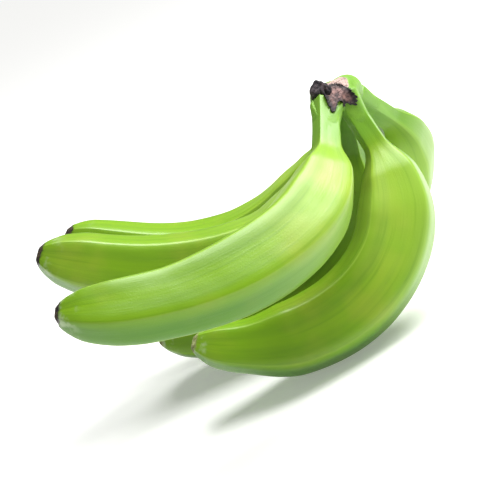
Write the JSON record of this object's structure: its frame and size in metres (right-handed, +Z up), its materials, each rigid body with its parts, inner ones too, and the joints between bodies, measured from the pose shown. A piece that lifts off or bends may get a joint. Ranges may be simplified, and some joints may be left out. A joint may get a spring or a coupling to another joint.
{
  "type": "hand of plantains",
  "caption": "Joined hand of green plantains on one crown, lying on the backs of its outer fruits with the blossom ends raised",
  "frame": {"origin": "centre of the bounding box's base, on the surface the hand lies on", "axes": "+Z up as it lies; +X to the right as seen from the front; +Y away from the viewer, along the crown"},
  "size_m": [0.2496, 0.3252, 0.1483],
  "materials": {
    "peel": "waxy green plantain peel, satin, with soft lengthwise streaks",
    "blossom_scab": "dry near-black corky blossom end",
    "crown_green": "pale green crown tissue with a dried pinkish cut",
    "stub_dark": "shrivelled charcoal stalk stub",
    "dried_skin": "torn dried purple-brown skin"
  },
  "bodies": {
    "root": {"fruit_near_inner": "peel", "fruit_near_outer": "peel", "fruit_mid_inner": "peel", "fruit_mid_outer": "peel", "fruit_far_inner": "peel", "fruit_far_outer": "peel", "blossom_end_near_inner": "blossom_scab", "blossom_end_near_outer": "blossom_scab", "blossom_end_mid_inner": "blossom_scab", "blossom_end_mid_outer": "blossom_scab", "blossom_end_far_inner": "blossom_scab", "blossom_end_far_outer": "blossom_scab", "crown": "crown_green", "stalk_stub": "stub_dark", "dried_skin": "dried_skin"}
  },
  "joints": []
}
